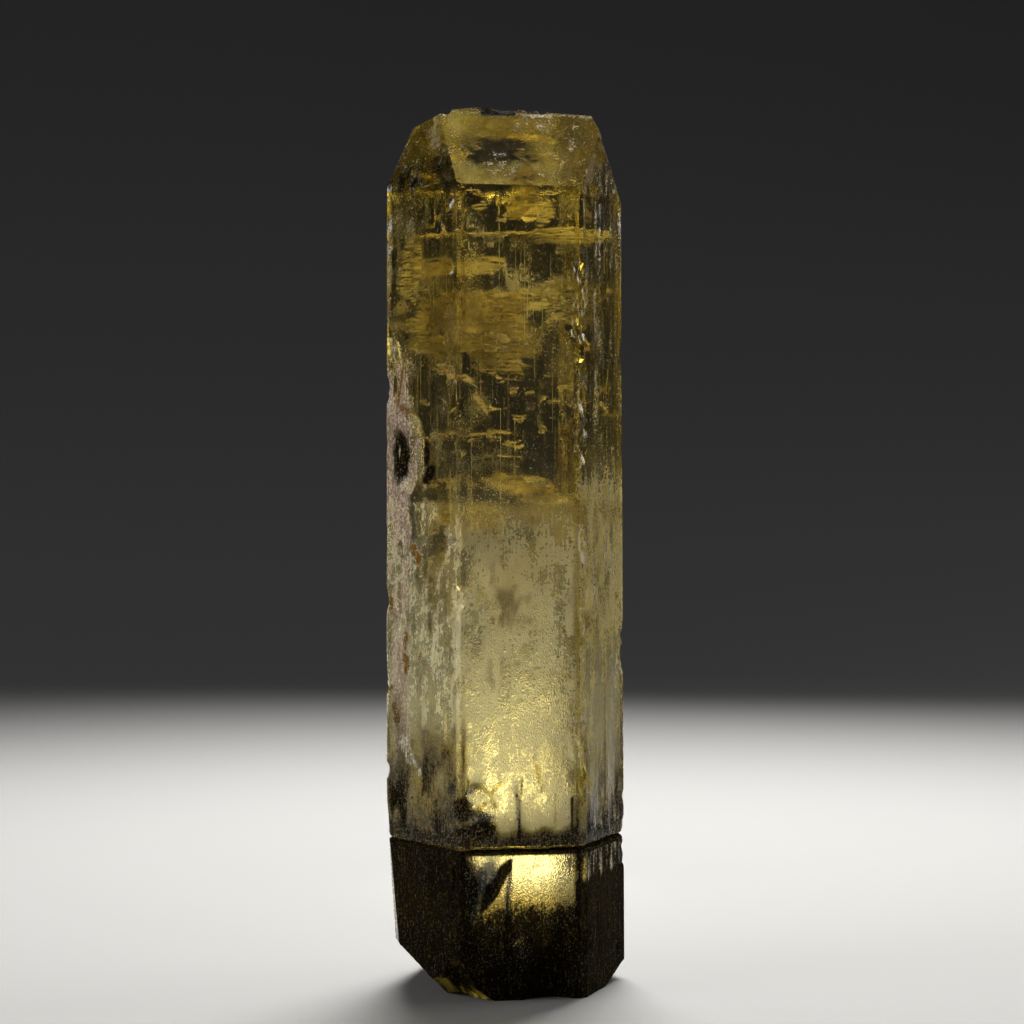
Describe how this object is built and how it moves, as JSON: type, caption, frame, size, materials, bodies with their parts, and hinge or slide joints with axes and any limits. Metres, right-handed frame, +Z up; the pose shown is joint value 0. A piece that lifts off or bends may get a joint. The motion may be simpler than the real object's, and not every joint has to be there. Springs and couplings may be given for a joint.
{
  "type": "heliodor crystal",
  "caption": "Upright hexagonal golden beryl crystal with bevelled flat top, lengthwise ledges, a transverse fracture near its foot and a broken flat foot to rest on.",
  "frame": {"origin": "point of the broken foot's flat face that lies on the crystal's long axis", "axes": "+Z up along the crystal's long axis, -Y the front as the picture shows it, +X to its right"},
  "size_m": [0.0179, 0.0168, 0.0653],
  "materials": {
    "heliodor": "clear golden beryl, frosted and etched in part, rust-stained at the foot and left edge"
  },
  "bodies": {
    "root": {"heliodor_crystal": "heliodor"}
  },
  "joints": []
}
